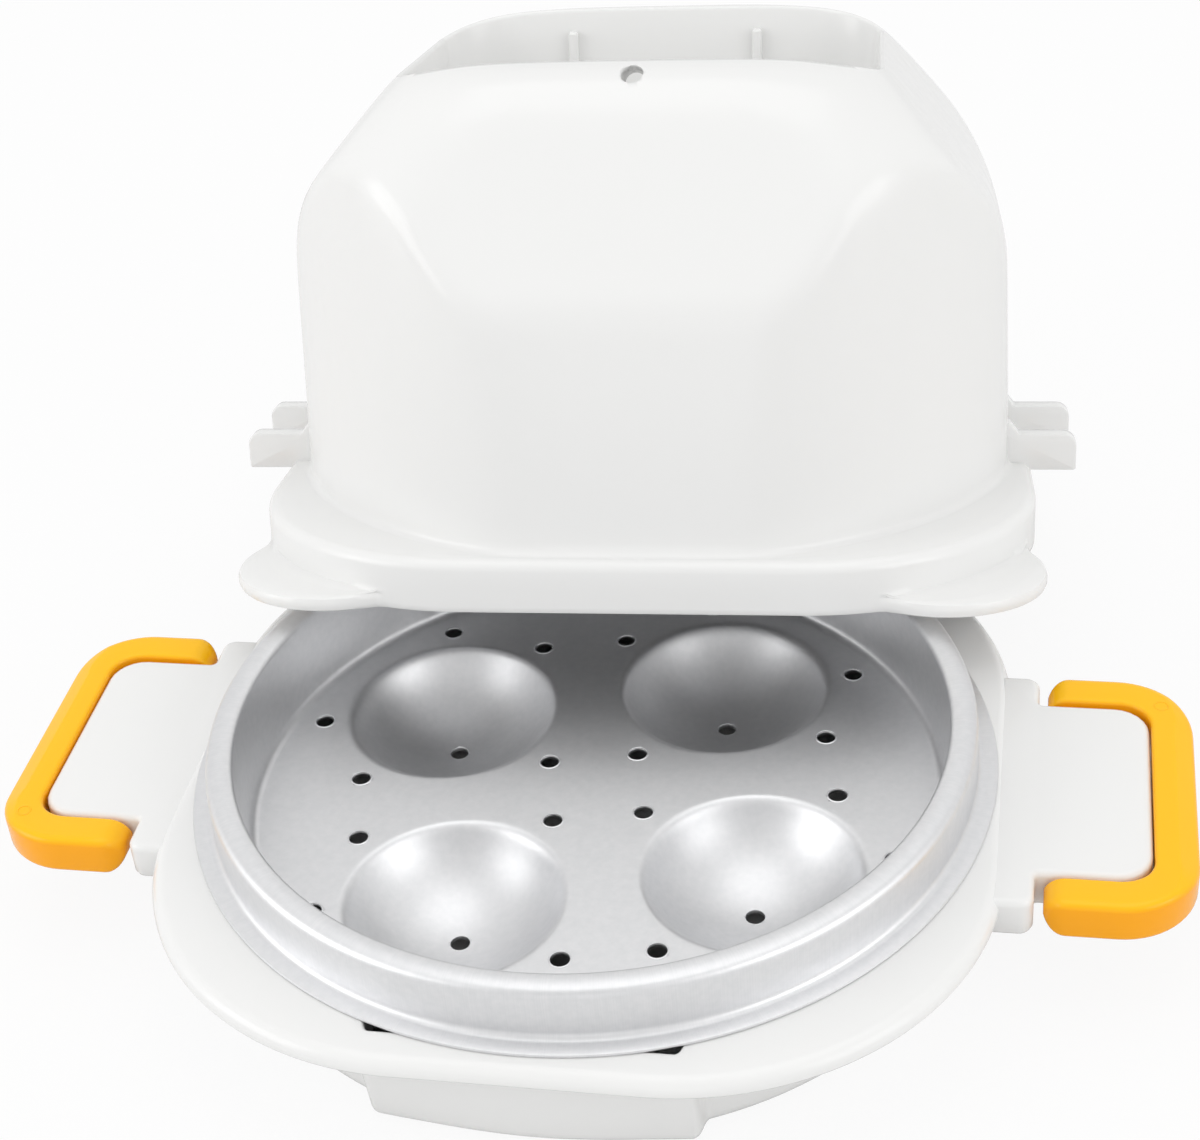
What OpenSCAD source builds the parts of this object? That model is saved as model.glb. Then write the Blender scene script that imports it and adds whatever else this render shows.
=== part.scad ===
// Microwave egg cooker, open: water base, loose aluminium egg tray, two swinging
// bail latches, and a lined lid that leans on the tray's rim with its back edge on the table.
// Millimetres, +Z up. The origin is on the table, under the middle of the base.
// The front, where the base has its flat pouring wall, faces -Y.

/* [Egg tray] */
// Radius of the tray's flat floor
tray_floor_r = 65.6; // [60:0.2:80]
// Thickness of the aluminium sheet
sheet = 0.8; // [0.5:0.1:1.2]
// Height of the rim's top above the tray's floor
rim_h = 18.3; // [14:0.1:24]
// How much the inner wall leans out from floor to rim
wall_lean = 0.6; // [0.2:0.1:2]
// Width of the flat ring on top of the rim
rim_w = 5.1; // [4:0.1:8]
// Height of the lower flange's top above the tray's floor
flange_h = 7.8; // [6:0.1:10]
// Width of the lower flange outside the rim's outer wall
flange_w = 3.8; // [3:0.1:6]
// Radius of an egg cup's mouth
cup_mouth_r = 20; // [17:0.1:21]
// Depth of an egg cup below the tray's floor
cup_depth = 11.4; // [8:0.1:13]
// Distance of the cups from the tray's middle lines
cup_offset = 27.1; // [26:0.1:29]
// Diameter of the steam holes
hole_d = 3.6; // [2.5:0.1:5]
// How far the inner steam holes lie inside the cups' inner edges
hole_in_set = 1.4; // [0:0.1:3]
// How far the steam holes between two cups lie inside the cups' outer edges
hole_out_set = 2.2; // [0:0.1:4]
// Distance of the outer steam holes from the edge of the floor
hole_rim_gap = 6.3; // [5:0.1:8]
// Size of the bends in the drawn sheet
bend = 1.6; // [1.2:0.1:2.2]
// How far the loose tray is turned in the base
tray_turn = 12.6; // [0:0.1:45]

/* [Base] */
// Height of the deck's top above the table
deck_z = 25; // [22:0.5:32]
// Thickness of the plastic walls of base and lid
wall = 2; // [1.6:0.1:2.4]
// Clearance between the tray's body and the tub's bore
tub_clear = 2.4; // [1:0.1:4]
// Deck left outside the tray's flange at the sides
deck_margin_side = 1.8; // [1:0.1:6]
// Deck left outside the tray's flange at front and back
deck_margin_front = 3.8; // [2:0.1:8]
// Radius of the deck's corners in plan
deck_corner_r = 56; // [35:0.5:60]
// Height of the deck's rolled rim
rim_roll_h = 4.8; // [4:0.1:7]
// Radius of the rolled rim's upper edge
rim_roll_r = 3.4; // [2.2:0.1:3.8]
// Half the width of the flat pouring front
spout_half_w = 29; // [20:0.5:36]
// How far the pouring front leans in from deck to table
spout_lean = 5; // [2:0.1:8]
// Half the length of the shoulder that joins a wing to the deck
shoulder_half_l = 31.5; // [29:0.1:36]
// How far the shoulder reaches beyond the deck's side
shoulder_reach = 5.2; // [4:0.1:8]
// Half the length of a wing along the side
wing_half_l = 23.5; // [20:0.1:27]
// How far a wing reaches beyond its shoulder
wing_reach = 20.3; // [19:0.1:26]
// Height of the wings and shoulders
wing_h = 8; // [7:0.1:9]
// Radius of a wing's outer corners in plan
wing_corner_r = 6; // [3:0.1:9]

/* [Latches] */
// Width of the bail's section
latch_w = 7.2; // [5:0.1:8]
// Height of the bail's section
latch_h = 8; // [7:0.1:9]
// Rounding of the bail's section
latch_round = 2.6; // [1.5:0.1:3]
// Gap between a wing and the bail round it
latch_gap = 0.8; // [0.5:0.1:1.5]
// Gap between a shoulder and the round end of the bail's arm
latch_end_gap = 1.5; // [0.6:0.1:2.5]
// Diameter of the pivot studs
stud_d = 4; // [3:0.1:5]
// How far a stud reaches into the wing
stud_reach = 3.4; // [2.5:0.1:5]
// Radial clearance of a stud in its bore
stud_clear = 0.05; // [0.02:0.01:0.1]

/* [Lid] */
// Clearance between the lid's skirt and the rim's outer wall, front and back
lid_clear = 1.1; // [0.6:0.1:3]
// How much wider than deep the skirt is, on each side
lid_side_extra = 5.8; // [3:0.1:9]
// Height of the skirt up to the ledge's top
skirt_h = 10.6; // [9:0.1:14]
// Radius of the skirt's corners in plan
skirt_corner_r = 47; // [35:0.5:55]
// Rounding of the ledge's outer edge
ledge_round = 2.2; // [1.7:0.1:2.8]
// Ledge left outside the dome at the sides
ledge_side = 4.2; // [2.5:0.1:6]
// Ledge left outside the dome at front and back
ledge_front = 3.6; // [2.5:0.1:6]
// Height of the lid from the skirt's bottom to the top
lid_h = 100.5; // [95:0.5:115]
// How far below the top the dome's sides start to round in
side_drop = 47.5; // [45:0.5:54]
// How much the dome's sides lean in up to that height
side_lean = 2.4; // [0:0.1:4]
// Radius of the dome's side shoulders
side_round_r = 30; // [24:0.5:34]
// Radius of the rounding at the ends of the dome's flat top
top_round_r = 24; // [15:0.5:26]
// Half the length of the dome's flat top
top_half_l = 33; // [26:0.5:36]
// How far below the top the front and back walls start to round in
front_drop = 41.5; // [38:0.5:44]
// How much the front and back walls lean in up to that height
front_lean = 4.5; // [2:0.1:7]
// Radius of the rounding of the front and back walls
front_round_r = 48; // [44:0.5:54]
// Half the length of the hand pocket in the top
pocket_half_l = 47; // [38:0.5:50]
// Half the width of the hand pocket in the top
pocket_half_w = 38; // [33:0.5:39]
// Depth of the hand pocket
pocket_depth = 30; // [20:0.5:32]
// Diameter of the steam hole in the pocket's front wall
vent_d = 4.4; // [3:0.1:6]
// Depth of the steam hole's middle below the top
vent_drop = 3.4; // [3.4:0.1:8]
// Distance of the pocket's two ribs from the middle
pocket_rib_x = 20.5; // [12:0.5:28]
// Reach of the latch catches beyond the skirt
catch_reach = 9.3; // [6:0.1:13]
// Height of a catch plate
catch_h = 6.6; // [5:0.1:10]
// How far a catch plate's underside lies below the ledge's top
catch_sink = 1.2; // [0.5:0.1:1.6]
// Thickness of a catch plate
catch_t = 4; // [2.5:0.1:6]
// Distance of the catch plates from the lid's middle line
catch_y = 10.4; // [7:0.1:15]
// Radius of the lifting ears
ear_r = 20; // [14:0.5:22]
// Thickness of the lifting ears
ear_t = 3; // [2:0.1:4]
// Distance of an ear's middle inside the skirt's sides
ear_inset = 19.2; // [17:0.1:23]

/* [Lid liner] */
// Gap between the liner's dome and the lid's front wall
liner_gap = 5.8; // [4:0.1:9]
// Gap between the liner's top and the underside of the hand pocket
liner_top_gap = 10.5; // [5:0.5:16]
// Rounding between the liner's wall and top
liner_round = 16; // [10:0.5:22]
// Clearance between the liner's flange and the skirt round it
liner_clear = 0.3; // [0.1:0.05:1]
// Diameter of the studs that hold the liner
stake_d = 3; // [2:0.1:4]
// Radial clearance of a stud in the liner's flange
stake_clear = 0.1; // [0.05:0.05:0.3]
// Distance of the studs inside the skirt's sides
stake_inset = 20; // [18:0.1:22]

/* [Lid at rest] */
// Turn of the lid about the vertical
lid_turn = 4.2; // [0:0.1:6]
// How far the leaning lid tips to its right
lid_tip = 0.7; // [0:0.1:1.5]
// Sideways place of the lid's middle
lid_x = -2; // [-5:0.1:5]
// Gap kept at the places where the leaning lid is carried
lean_gap = 0.35; // [0.2:0.05:0.6]
// How far behind the skirt's front edge the tray's rim carries the lid
lean_set = 7.6; // [5:0.1:14]

/* [Hidden] */
$fn = 96;
// Small overlap where pieces of one solid are joined, or cuts run past a face
eps = 0.5;

// Egg tray
tray_floor_z = deck_z + sheet - flange_h;
rim_in_r = tray_floor_r + wall_lean;
rim_out_r = rim_in_r + rim_w;
flange_r = rim_out_r + flange_w;
rim_top_z = tray_floor_z + rim_h;
cup_r = (cup_mouth_r * cup_mouth_r + cup_depth * cup_depth) / (2 * cup_depth);
hole_in = cup_offset - cup_mouth_r + hole_in_set;
hole_out = cup_offset + cup_mouth_r - hole_out_set;
hole_far = sqrt(pow(tray_floor_r - hole_rim_gap, 2) - pow(cup_offset, 2));

// Base
tub_in_r = rim_in_r + sheet + tub_clear;
tub_out_r = tub_in_r + wall;
deck_half_w = flange_r + deck_margin_side;
deck_half_d = flange_r + deck_margin_front;
spout_top_y = tub_out_r + wall;
shoulder_x = deck_half_w + shoulder_reach;
wing_x = shoulder_x + wing_reach;
wing_bottom_z = deck_z - wing_h;

// Latches
pivot_x = shoulder_x + latch_end_gap + latch_h / 2;
pivot_z = deck_z - latch_h / 2;
arm_y = wing_half_l + latch_gap + latch_w / 2;
bar_x = wing_x + latch_gap + latch_w / 2;
turn_r = wing_corner_r + latch_gap + latch_w / 2;

// Lid
lid_half_d = rim_out_r + lid_clear + wall;
lid_half_w = lid_half_d + lid_side_extra;
dome_half_w = lid_half_w - ledge_side;
dome_half_d = lid_half_d - ledge_front;
side_break_h = lid_h - side_drop;
front_break_h = lid_h - front_drop;
// Middles of the two roundings at the dome's sides, and the turn at which one slope touches both
shoulder_mid = [dome_half_w - side_lean - side_round_r, side_break_h];
top_mid = [top_half_l, lid_h - top_round_r];
mid_step = top_mid - shoulder_mid;
shoulder_turn = atan2(mid_step[1], mid_step[0]) - acos((side_round_r - top_round_r) / norm(mid_step));
ledge_z = skirt_h - wall;
pocket_floor_z = lid_h - pocket_depth;
liner_r = dome_half_d - wall - liner_gap;
liner_h = pocket_floor_z - wall - liner_top_gap;
liner_edge = wall + liner_clear;
catch_z = skirt_h - catch_sink;

// The lid leans: the rim carries its front corners, and its back ears stand on the table.
// It is slid forward until the low part of its skirt meets the rim.
lid_lean = asin(rim_top_z / (2 * lid_half_d - lean_set));
rim_edge_r = rim_out_r - bend / 2;
lid_z = lean_gap - min([for (p = corner_points(1, lid_half_w - ear_inset, lid_half_d - ear_inset, ear_r))
    p[2]]);
lid_y = max([for (p = corner_points(-1, lid_half_w - skirt_corner_r, lid_half_d - skirt_corner_r,
                                    skirt_corner_r - wall))
    if (p[2] + lid_z < rim_top_z + lean_gap && abs(p[0] + lid_x) < rim_edge_r)
        sqrt(pow(rim_edge_r, 2) - pow(p[0] + lid_x, 2)) - p[1]]);

// Points round the lid's two back (1) or front (-1) corners, as far from the lid's middle as they lie
// when it leans
function corner_points(back, x, y, radius) =
    [for (side = [-1, 1], a = [0 : 0.5 : 90])
        leaned([side * (x + radius * cos(a)), back * (y + radius * sin(a))])];

// Where a point of the lid's underside lies from the lid's middle when the lid leans
function leaned(p) =
    let (x = p[0] * cos(lid_tip),
         drop = p[0] * sin(lid_tip),
         y = p[1] * cos(lid_lean) - drop * sin(lid_lean))
    [x * cos(lid_turn) - y * sin(lid_turn),
     x * sin(lid_turn) + y * cos(lid_turn),
     -p[1] * sin(lid_lean) - drop * cos(lid_lean)];

// Points of an arc about a middle, from one angle to another
function arc(middle, radius, from, to, steps = 10) =
    [for (i = [0 : steps]) let (a = from + (to - from) * i / steps)
        middle + radius * [cos(a), sin(a)]];

function ellipse(half_w, half_d, steps = 72) =
    [for (i = [0 : steps - 1]) let (a = 360 * i / steps) [half_w * cos(a), half_d * sin(a)]];

// Both halves of an outline that is drawn for its right side only
function mirrored(right) =
    concat(right, [for (i = [len(right) - 1 : -1 : 0]) [-right[i][0], right[i][1]]]);

module rounded_rect(half_w, half_d, corner) {
    square([2 * (half_w - corner), 2 * half_d], center = true);
    square([2 * half_w, 2 * (half_d - corner)], center = true);
    for (x = [-1, 1], y = [-1, 1])
        translate([x * (half_w - corner), y * (half_d - corner)])
            circle(corner);
}

// Carries a section round a rounded rectangle. The section's x runs outward from the outline.
module carry_round(half_w, half_d, corner) {
    for (side = [0, 1]) {
        reach = side == 0 ? half_w : half_d;
        run = side == 0 ? half_d - corner : half_w - corner;
        for (turn = [0, 180])
            rotate([0, 0, 90 * side + turn])
                translate([reach, 0, 0])
                    rotate([90, 0, 0])
                        linear_extrude(2 * run, center = true)
                            children();
    }
    for (k = [0 : 3]) {
        x = (k == 0 || k == 3 ? 1 : -1) * (half_w - corner);
        y = (k < 2 ? 1 : -1) * (half_d - corner);
        translate([x, y, 0])
            rotate([0, 0, 90 * k])
                rotate_extrude(angle = 90)
                    translate([corner, 0])
                        children();
    }
}

// Section of a plastic edge: a flat top that rolls over into an outer wall
module rolled_edge(top_z, bottom_z, roll, reach_in)
    polygon(concat(
        [[-reach_in, top_z - wall], [-reach_in, top_z]],
        arc([-roll, top_z - roll], roll, 90, 0, 6),
        [[0, bottom_z], [-wall, bottom_z], [-wall, top_z - wall]]));

module base() {
    color([0.95, 0.95, 0.94])
    difference() {
        union() {
            carry_round(deck_half_w, deck_half_d, deck_corner_r)
                rolled_edge(deck_z, deck_z - rim_roll_h, rim_roll_r, rim_roll_r + 2 * wall);
            translate([0, 0, deck_z - wall])
                linear_extrude(wall)
                    rounded_rect(deck_half_w - rim_roll_r - wall, deck_half_d - rim_roll_r - wall,
                                 deck_corner_r - rim_roll_r - wall);
            tub(0);
            for (side = [0, 180])
                rotate([0, 0, side])
                    wing();
        }
        tub(wall);
    }
}

// The water tub: round, with a flat front that leans in towards the table.
// With an inset it is the tub's hollow, open through the deck.
module tub(inset) {
    bottom = inset;
    top = deck_z - (inset == 0 ? eps : -eps);
    front = spout_top_y - inset;
    difference() {
        union() {
            translate([0, 0, bottom])
                cylinder(r = tub_out_r - inset, h = top - bottom);
            translate([-spout_half_w + inset, -front, bottom])
                cube([2 * (spout_half_w - inset), front, top - bottom]);
        }
        // Cut along the leaning front
        rotate([90, 0, 90])
            linear_extrude(4 * spout_half_w, center = true)
                polygon([[-front, deck_z], [-front - tub_out_r, deck_z],
                         [-front - tub_out_r, -eps], [-front + spout_lean * (deck_z + eps) / deck_z, -eps]]);
    }
}

// A wing with its shoulder, hollow below, with two bores for the bail's studs
module wing() {
    difference() {
        translate([0, 0, wing_bottom_z])
            linear_extrude(wing_h)
                wing_outline(0);
        difference() {
            translate([0, 0, wing_bottom_z - eps])
                linear_extrude(wing_h - wall + eps)
                    wing_outline(wall);
            for (y = [-1, 1])
                translate([pivot_x, y * wing_half_l, pivot_z])
                    rotate([y * 90, 0, 0])
                        cylinder(d = stud_d + 2 * wall, h = stud_reach + wall);
        }
        for (y = [-1, 1])
            translate([pivot_x, y * (wing_half_l + eps), pivot_z])
                rotate([y * 90, 0, 0])
                    cylinder(d = stud_d + 2 * stud_clear, h = stud_reach + stud_clear + eps);
    }
}

module wing_outline(inset) {
    inner_x = deck_half_w - wall;
    translate([(inner_x + wing_x) / 2, 0])
        rounded_rect((wing_x - inner_x) / 2 - inset, wing_half_l - inset, wing_corner_r - inset);
    translate([(inner_x + shoulder_x) / 2, 0])
        rounded_rect((shoulder_x - inner_x) / 2 - inset, shoulder_half_l - inset, wall + eps - inset);
}

module egg_tray() {
    color([0.78, 0.79, 0.8])
    translate([0, 0, tray_floor_z])
        rotate([0, 0, tray_turn])
            difference() {
                union() {
                    rotate_extrude()
                        tray_section();
                    for (x = [-1, 1], y = [-1, 1])
                        translate([x * cup_offset, y * cup_offset, 0])
                            intersection() {
                                translate([0, 0, cup_r - cup_depth])
                                    sphere(cup_r + sheet);
                                translate([0, 0, -cup_depth - sheet])
                                    cylinder(r = cup_mouth_r + sheet, h = cup_depth + sheet);
                            }
                }
                for (x = [-1, 1], y = [-1, 1])
                    translate([x * cup_offset, y * cup_offset, cup_r - cup_depth])
                        sphere(cup_r);
                for (place = hole_places())
                    translate([place[0], place[1], -cup_depth - sheet - eps])
                        cylinder(d = hole_d, h = cup_depth + sheet + 2 * eps);
            }
}

// Half section of the tray: floor, inner wall, rim, outer wall and flange
module tray_section() {
    top = [
        [0, 0],
        [tray_floor_r - bend, 0],
        [tray_floor_r, bend],
        [rim_in_r - sheet / 2, rim_h - sheet],
        [rim_in_r, rim_h],
        [rim_out_r - bend, rim_h],
        [rim_out_r, rim_h - bend],
        [rim_out_r, flange_h + sheet],
        [rim_out_r + sheet, flange_h],
        [flange_r, flange_h]];
    under = [
        [flange_r, flange_h - sheet],
        [rim_out_r - sheet / 2, flange_h - sheet],
        [rim_out_r - sheet, flange_h],
        [rim_out_r - sheet, rim_h - bend - sheet / 2],
        [rim_out_r - bend - sheet / 2, rim_h - sheet],
        [rim_in_r + sheet, rim_h - sheet],
        [tray_floor_r + sheet, bend - sheet / 2],
        [tray_floor_r - bend + sheet / 2, -sheet],
        [0, -sheet]];
    polygon(concat(top, under));
}

// Middles of the 24 steam holes
function hole_places() = concat(
    [for (x = [-1, 1], y = [-1, 1]) [x * hole_in, y * hole_in]],
    [for (x = [-1, 1], y = [-1, 1]) [x * hole_in, y * hole_out]],
    [for (x = [-1, 1], y = [-1, 1]) [x * hole_out, y * hole_in]],
    [for (x = [-1, 1], y = [-1, 1]) [x * cup_offset, y * hole_far]],
    [for (x = [-1, 1], y = [-1, 1]) [x * hole_far, y * cup_offset]],
    [for (x = [-1, 1], y = [-1, 1]) [x * cup_offset, y * cup_offset]]);

module left_latch()
    rotate([0, 0, 180])
        bail();

module right_latch()
    bail();

// One bail: two arms with round ends and studs, two turned corners and the crossbar
module bail() {
    color([1, 0.76, 0.05])
    translate([0, 0, pivot_z]) {
        for (y = [-1, 1]) {
            translate([pivot_x, y * arm_y, 0])
                rotate([90, 0, 0])
                    rotate_extrude()
                        intersection() {
                            rounded_rect(latch_h / 2, latch_w / 2, latch_round);
                            translate([0, -latch_w])
                                square([latch_h, 2 * latch_w]);
                        }
            translate([pivot_x, y * arm_y, 0])
                rotate([90, 0, 90])
                    linear_extrude(bar_x - turn_r - pivot_x)
                        bail_section();
            translate([bar_x - turn_r, y * (arm_y - turn_r), 0])
                rotate([0, 0, y < 0 ? -90 : 0])
                    rotate_extrude(angle = 90)
                        translate([turn_r, 0])
                            bail_section();
            translate([pivot_x, y * arm_y, 0])
                rotate([y * 90, 0, 0])
                    cylinder(d = stud_d, h = latch_w / 2 + latch_gap + stud_reach);
        }
        translate([bar_x, 0, 0])
            rotate([90, 0, 0])
                linear_extrude(2 * (arm_y - turn_r), center = true)
                    bail_section();
    }
}

module bail_section()
    rounded_rect(latch_w / 2, latch_h / 2, latch_round);

// Puts what is drawn upright round the lid's own middle where the lid leans
module lid_place()
    translate([lid_x, lid_y, lid_z])
        rotate([-lid_lean, 0, lid_turn])
            rotate([0, lid_tip, 0])
                children();

module lid_shell() {
    color([0.96, 0.96, 0.95])
    lid_place() {
        difference() {
            union() {
                carry_round(lid_half_w, lid_half_d, skirt_corner_r)
                    rolled_edge(skirt_h, 0, ledge_round, ledge_round + 2 * wall);
                translate([0, 0, ledge_z])
                    linear_extrude(wall)
                        rounded_rect(lid_half_w - ledge_round - wall, lid_half_d - ledge_round - wall,
                                     skirt_corner_r - ledge_round - wall);
                dome(0, ledge_z);
                catches();
                ears();
            }
            // Inside of the dome, left solid round the hand pocket
            difference() {
                dome(wall, -eps);
                translate([-pocket_half_l - wall, -pocket_half_w - wall, pocket_floor_z - wall])
                    cube([2 * (pocket_half_l + wall), 2 * (pocket_half_w + wall), lid_h]);
            }
            // The hand pocket, with its two ribs left standing on the back wall
            difference() {
                translate([-pocket_half_l, -pocket_half_w, pocket_floor_z])
                    cube([2 * pocket_half_l, 2 * pocket_half_w, lid_h]);
                for (x = [-1, 1])
                    translate([x * pocket_rib_x - wall / 2, pocket_half_w - 1.5 * wall, pocket_floor_z - eps])
                        cube([wall, 2 * wall, pocket_depth - 2 * wall]);
            }
            // Steam hole through the pocket's front wall
            translate([0, -pocket_half_w + wall, lid_h - vent_drop])
                rotate([90, 0, 0])
                    cylinder(d = vent_d, h = lid_half_d);
        }
        stakes();
    }
}

// The domed body as the space shared by three outlines, each set in by the same amount
module dome(inset, bottom) {
    side = dome_half_w - inset;
    front = dome_half_d - inset;
    top = lid_h - inset;
    intersection() {
        rotate([90, 0, 0])
            linear_extrude(4 * lid_half_d, center = true)
                polygon(mirrored(concat(
                    [[side, bottom]],
                    arc(shoulder_mid, side_round_r - inset, 0, shoulder_turn),
                    arc(top_mid, top_round_r - inset, shoulder_turn, 90))));
        rotate([90, 0, 90])
            linear_extrude(4 * lid_half_w, center = true)
                polygon(mirrored(concat(
                    [[front, bottom]],
                    arc([front - front_lean - front_round_r + inset, front_break_h],
                        front_round_r - inset, 0, asin((lid_h - front_break_h) / front_round_r)),
                    [[0, top]])));
        translate([0, 0, bottom])
            linear_extrude(top - bottom)
                polygon(ellipse(side, front));
    }
}

// Two pairs of plates on the sides, which the bails take hold of
module catches() {
    for (x = [-1, 1], y = [-1, 1])
        translate([x * (dome_half_w - 2 * wall), y * catch_y, catch_z])
            rotate([90, 0, 0])
                linear_extrude(catch_t, center = true)
                    scale([x, 1])
                        catch_side();
}

module catch_side() {
    reach = catch_reach + ledge_side + 2 * wall;
    polygon(concat(
        [[0, 0], [reach, 0]],
        arc([reach - wall / 2, catch_h - wall / 2], wall / 2, 0, 90, 4),
        [[0, catch_h]]));
}

module ears() {
    for (x = [-1, 1], y = [-1, 1])
        intersection() {
            translate([x * (lid_half_w - ear_inset), y * (lid_half_d - ear_inset), 0])
                cylinder(r = ear_r, h = ear_t);
            difference() {
                translate([x > 0 ? 0 : -2 * lid_half_w, y > 0 ? 0 : -2 * lid_half_d, 0])
                    cube([2 * lid_half_w, 2 * lid_half_d, ear_t]);
                translate([0, 0, -eps])
                    linear_extrude(ear_t + 2 * eps)
                        rounded_rect(lid_half_w - wall, lid_half_d - wall, skirt_corner_r - wall);
            }
        }
}

// Studs of the shell that pass through the liner's flange, with heads formed by heat
module stakes() {
    for (x = [-1, 1], y = [-1, 1])
        translate([x * (lid_half_w - stake_inset), y * (lid_half_d - stake_inset), 0]) {
            translate([0, 0, ledge_z - sheet - wall / 2])
                cylinder(d = stake_d, h = sheet + wall);
            translate([0, 0, ledge_z - sheet - wall / 2])
                cylinder(d = 2 * stake_d, h = wall / 2);
        }
}

// The liner: a drawn dome with a flange that lies against the underside of the ledge
module lid_liner() {
    color([0.78, 0.79, 0.8])
    lid_place()
        difference() {
            union() {
                translate([0, 0, ledge_z - sheet])
                    linear_extrude(sheet)
                        difference() {
                            rounded_rect(lid_half_w - liner_edge, lid_half_d - liner_edge,
                                         skirt_corner_r - liner_edge);
                            circle(liner_r - sheet / 2);
                        }
                rotate_extrude()
                    liner_section();
            }
            for (x = [-1, 1], y = [-1, 1])
                translate([x * (lid_half_w - stake_inset), y * (lid_half_d - stake_inset), 0])
                    cylinder(d = stake_d + 2 * stake_clear, h = skirt_h);
        }
}

// Half section of the liner's dome
module liner_section() {
    outer = arc([liner_r - liner_round, liner_h - liner_round], liner_round, 0, 90);
    inner = arc([liner_r - liner_round, liner_h - liner_round], liner_round - sheet, 90, 0);
    polygon(concat(
        [[liner_r, ledge_z - sheet]],
        outer,
        [[0, liner_h], [0, liner_h - sheet]],
        inner,
        [[liner_r - sheet, ledge_z - sheet]]));
}

base();
egg_tray();
left_latch();
right_latch();
lid_shell();
lid_liner();
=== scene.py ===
# Looks of the open egg cooker: base, egg tray, two bail latches and the lined lid that leans on the tray.
# The script goes through the pieces as they are put together. Sizes are in millimetres until a mesh is made.
import math

import bmesh
import bpy
import numpy as np
from mathutils import Matrix, Vector


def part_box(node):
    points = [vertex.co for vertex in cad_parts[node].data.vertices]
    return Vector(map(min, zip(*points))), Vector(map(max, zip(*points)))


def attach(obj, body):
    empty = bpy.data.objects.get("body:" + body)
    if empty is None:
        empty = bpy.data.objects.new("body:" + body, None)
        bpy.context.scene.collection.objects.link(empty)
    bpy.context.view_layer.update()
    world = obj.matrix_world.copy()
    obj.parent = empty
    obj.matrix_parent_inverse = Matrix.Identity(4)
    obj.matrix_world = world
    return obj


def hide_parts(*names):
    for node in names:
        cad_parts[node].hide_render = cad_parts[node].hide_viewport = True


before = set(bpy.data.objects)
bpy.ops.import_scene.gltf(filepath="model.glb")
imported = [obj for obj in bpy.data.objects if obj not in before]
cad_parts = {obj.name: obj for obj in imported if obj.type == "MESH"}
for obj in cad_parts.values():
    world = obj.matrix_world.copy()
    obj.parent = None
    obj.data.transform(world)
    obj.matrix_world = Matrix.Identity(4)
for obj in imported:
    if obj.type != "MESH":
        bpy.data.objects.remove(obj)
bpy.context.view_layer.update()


# Base
# One thin moulding in glossy white polypropylene: a deck with a rolled rim, a water tub below it
# with a flat front for pouring, and a wing on each side that carries a bail latch.
mm = 0.001
base_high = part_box("base")[1]
deck_z = base_high[2] / mm
deck_half_d = base_high[1] / mm
deck_half_w = deck_half_d - 2.0
deck_corner = 56.0
deck_roll = 2.6
lip_h = 3.3
plastic = 2.0
tub_r = 71.4
tub_foot_round = 3.6
spout_half_w = 29.0
spout_y = 73.4
spout_lean = 4.2
spout_bow = 2.2
spout_edge = 4.5
spout_blend = 2.5


def soft_max(a, b, width):
    """The larger of two heights or reaches, with the corner between them rounded over that width."""
    share = np.clip(0.5 + 0.5 * (a - b) / width, 0, 1)
    return b + (a - b) * share + width * share * (1 - share)


def soft_min(a, b, width):
    return -soft_max(-a, -b, width)


def rounded_reach(angles, half_w, half_d, corner):
    """How far the edge of a rounded rectangle lies from its middle in each direction."""
    across = np.maximum(np.abs(np.cos(angles)), 1e-9)
    along = np.maximum(np.abs(np.sin(angles)), 1e-9)
    mid_x = half_w - corner
    mid_y = half_d - corner
    toward = mid_x * across + mid_y * along
    off = mid_x * along - mid_y * across
    bend = toward + np.sqrt(np.maximum(corner**2 - off**2, 0))
    side = half_w / across
    front = half_d / along
    on_side = side * along <= mid_y
    on_front = front * across <= mid_x
    return np.where(on_side, side, np.where(on_front, front, bend))


def ring(angles, reach, height):
    """One closed row of points round the upright middle axis."""
    reach = np.broadcast_to(reach, angles.shape)
    height = np.broadcast_to(height, angles.shape)
    return np.column_stack((reach * np.cos(angles), reach * np.sin(angles), height))


def quarter(steps):
    """Angles of a quarter turn, for rounding an edge."""
    return [math.pi / 2 * i / steps for i in range(steps + 1)]


def skin(rows, close_first=True, close_last=True):
    """Points and faces of a skin over closed rows, with its two ends closed by a fan."""
    count = len(rows[0])
    points = [p for row in rows for p in row]
    faces = []
    for r in range(len(rows) - 1):
        for i in range(count):
            j = (i + 1) % count
            faces.append((r * count + i, r * count + j, (r + 1) * count + j, (r + 1) * count + i))
    for wanted, row, turn in ((close_first, 0, -1), (close_last, len(rows) - 1, 1)):
        if wanted:
            points.append(np.mean(rows[row], axis=0))
            hub = len(points) - 1
            for i in range(count):
                pair = (row * count + i, row * count + (i + 1) % count)
                faces.append((*pair[::turn], hub))
    return points, faces


def joined(*skins):
    """Several closed skins as one list of points and one of faces."""
    points = []
    faces = []
    for some_points, some_faces in skins:
        start = len(points)
        points.extend(some_points)
        faces.extend(tuple(start + k for k in face) for face in some_faces)
    return points, faces


def make_piece(name, points, faces, sharp_deg=38):
    """A mesh object from points in millimetres, smooth except along sharp edges."""
    mesh = bpy.data.meshes.new(name)
    mesh.from_pydata([tuple(float(v) * mm for v in p) for p in points], [], faces)
    shape = bmesh.new()
    shape.from_mesh(mesh)
    bmesh.ops.recalc_face_normals(shape, faces=shape.faces)
    shape.to_mesh(mesh)
    shape.free()
    mesh.polygons.foreach_set("use_smooth", [True] * len(mesh.polygons))
    mesh.set_sharp_from_angle(angle=math.radians(sharp_deg))
    piece = bpy.data.objects.new(name, mesh)
    bpy.context.collection.objects.link(piece)
    return piece


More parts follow.
